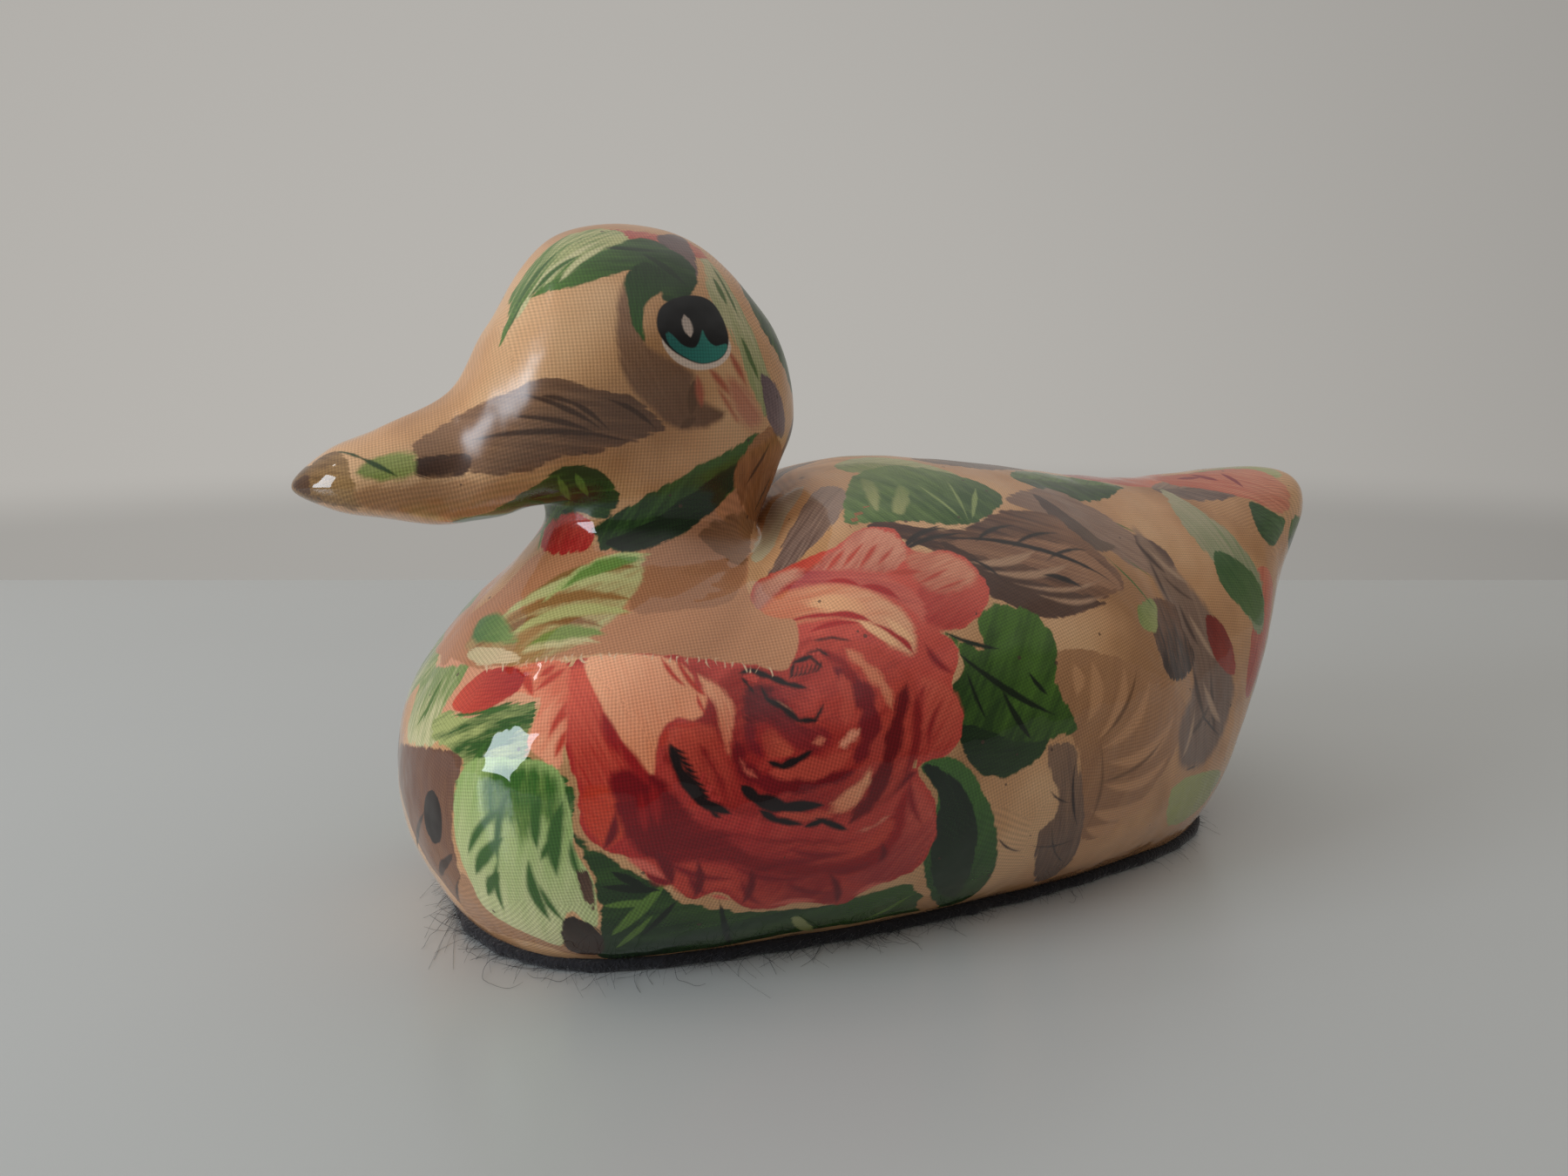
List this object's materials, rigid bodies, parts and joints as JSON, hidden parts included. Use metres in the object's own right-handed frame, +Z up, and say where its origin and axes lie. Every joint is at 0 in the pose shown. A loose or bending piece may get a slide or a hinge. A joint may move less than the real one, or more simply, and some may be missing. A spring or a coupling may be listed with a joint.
{
  "type": "duck figurine",
  "caption": "Decoy-style duck figurine with a rounded hull, upright head and flat felt-padded base.",
  "frame": {"origin": "centre of the felt pad's underside, where the duck rests", "axes": "+Z up, bill towards -Y, tail towards +Y, the duck's left side +X"},
  "size_m": [0.1078, 0.2235, 0.1244],
  "materials": {
    "lacquered_print": "printed cotton patches pasted over the carved core under thick clear gloss lacquer",
    "felt": "thin black wool felt, matt and slightly hairy at the edge"
  },
  "bodies": {
    "root": {"duck_body": "lacquered_print", "felt_pad": "felt"}
  },
  "joints": []
}
